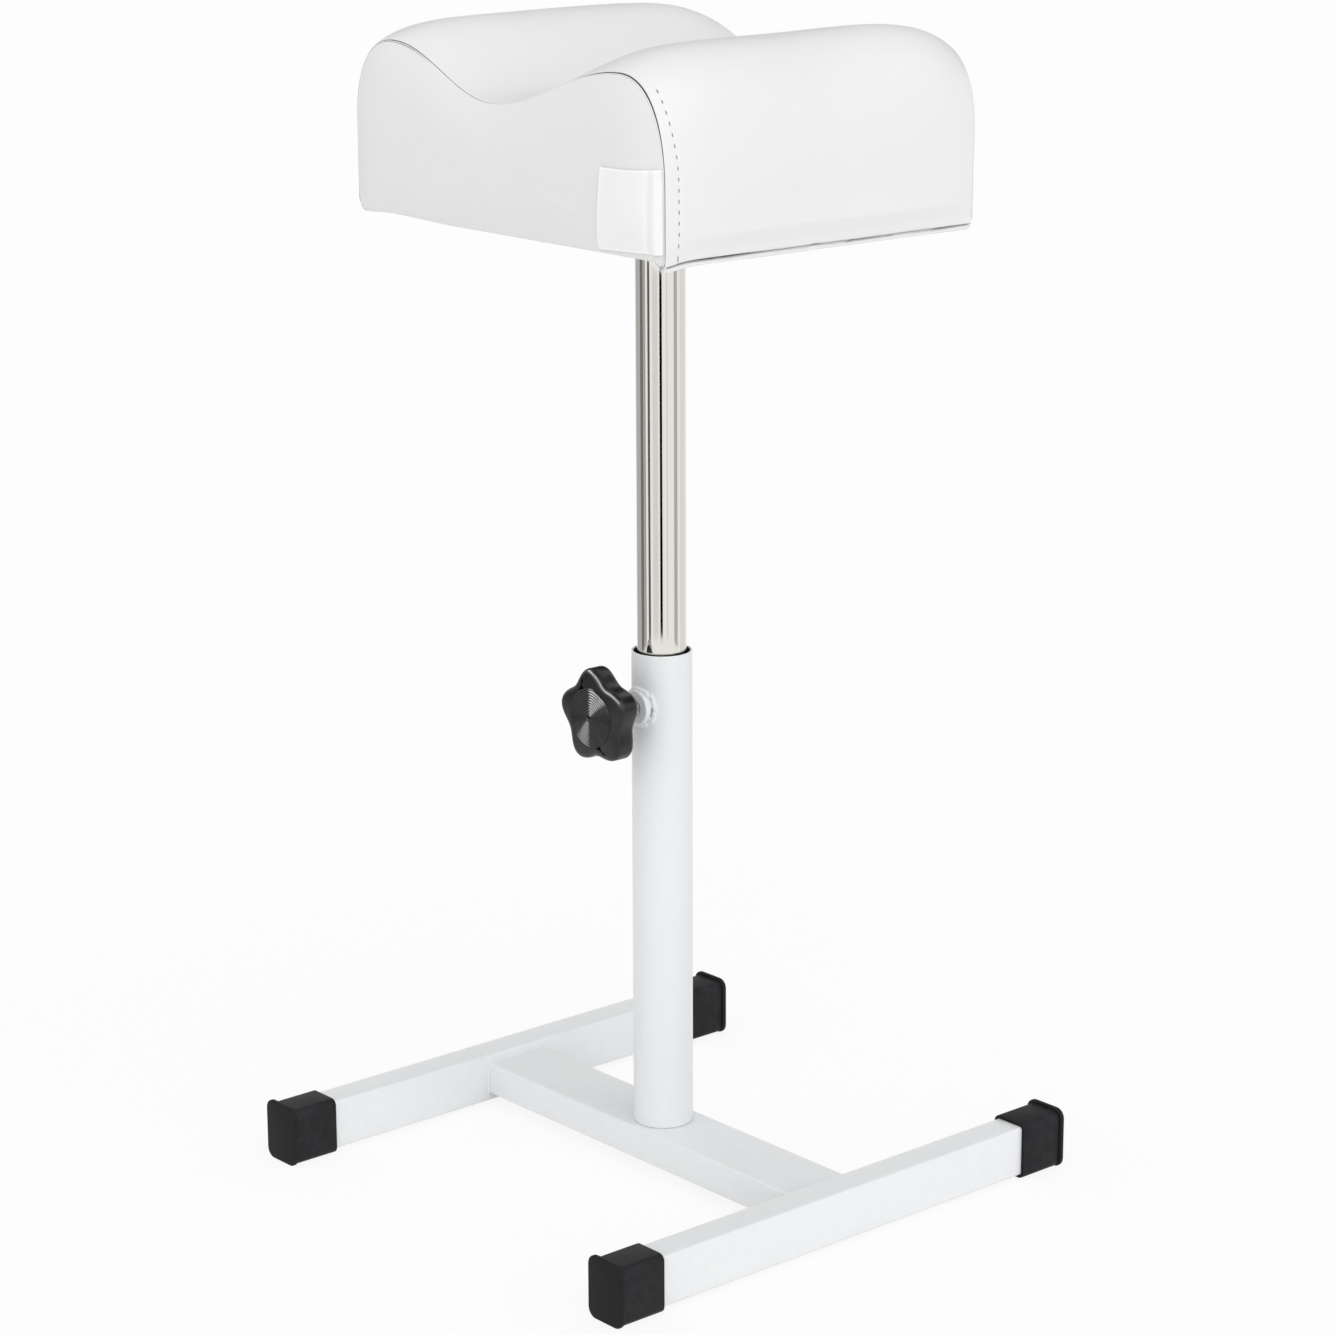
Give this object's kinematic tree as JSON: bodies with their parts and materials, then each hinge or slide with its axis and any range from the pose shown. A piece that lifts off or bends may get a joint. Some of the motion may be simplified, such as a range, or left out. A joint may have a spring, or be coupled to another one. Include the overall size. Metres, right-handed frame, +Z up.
{
  "type": "pedicure footrest",
  "caption": "Height-adjustable pedicure leg rest with an H-shaped tube base, telescopic post, clamp knob and saddle-shaped cushion.",
  "frame": {"origin": "on the floor, under the post's axis", "axes": "+Z up along the post; +X along the crossbar; +Y along the rails, away from the clamp knob, which faces -Y"},
  "size_m": [0.3272, 0.3426, 0.6717],
  "materials": {
    "white_powder_coat": "smooth satin white powder coat over steel tube",
    "black_plastic": "satin black moulded plastic",
    "zinc_plate": "bright zinc-plated steel",
    "nylon": "natural nylon, matt",
    "chrome_plate": "polished chrome plate with fine draw lines along the tube",
    "plywood": "raw plywood",
    "foam": "open-cell upholstery foam",
    "white_leather": "smooth white artificial leather, faint grain, soft sheen",
    "black_cloth": "dark non-woven dust cloth",
    "tag_satin": "white satin ribbon, plain"
  },
  "bodies": {
    "base": {"rail_left": "white_powder_coat", "rail_right": "white_powder_coat", "crossbar": "white_powder_coat", "end_cap_left_front": "black_plastic", "end_cap_left_rear": "black_plastic", "end_cap_right_front": "black_plastic", "end_cap_right_rear": "black_plastic", "post_tube": "white_powder_coat", "post_foot_plug": "zinc_plate", "base_washer": "zinc_plate", "base_bolt": "zinc_plate", "clamp_boss": "white_powder_coat"},
    "guide": {"guide_bush": "nylon"},
    "mast": {"mast_tube": "chrome_plate", "mast_flange": "white_powder_coat", "flange_washer_1": "zinc_plate", "flange_washer_2": "zinc_plate", "flange_washer_3": "zinc_plate", "flange_washer_4": "zinc_plate", "flange_screw_1": "zinc_plate", "flange_screw_2": "zinc_plate", "flange_screw_3": "zinc_plate", "flange_screw_4": "zinc_plate", "tee_nut_1": "zinc_plate", "tee_nut_2": "zinc_plate", "tee_nut_3": "zinc_plate", "tee_nut_4": "zinc_plate", "seat_board": "plywood", "foam_block": "foam", "cover_wrap": "white_leather", "cover_end_front": "white_leather", "cover_end_rear": "white_leather", "bottom_cloth": "black_cloth", "label_tag": "tag_satin"},
    "pad": {"clamp_pad": "nylon"},
    "knob": {"clamp_screw": "zinc_plate", "knob_grip": "black_plastic", "knob_cap": "black_plastic"}
  },
  "joints": [
    {"name": "height_slide", "type": "slide", "parent": "base", "child": "guide", "axis": [0, 0, 1], "range_m": [-0.185, 0.02]},
    {"name": "cushion_turn", "type": "hinge", "parent": "guide", "child": "mast", "pos_m": [0, 0, 0.24], "axis": [0, 0, 1], "continuous": true},
    {"name": "clamp_travel", "type": "slide", "parent": "base", "child": "pad", "axis": [0, -1, 0], "range_m": [0, 0.0025]},
    {"name": "knob_turn", "type": "hinge", "parent": "pad", "child": "knob", "pos_m": [0, -0.045, 0.2841], "axis": [0, -1, 0], "range_deg": [0, 720]}
  ],
  "couplings": [
    {"joint": "clamp_travel", "follows": "knob_turn", "m_per_rad": 0.0001989}
  ]
}
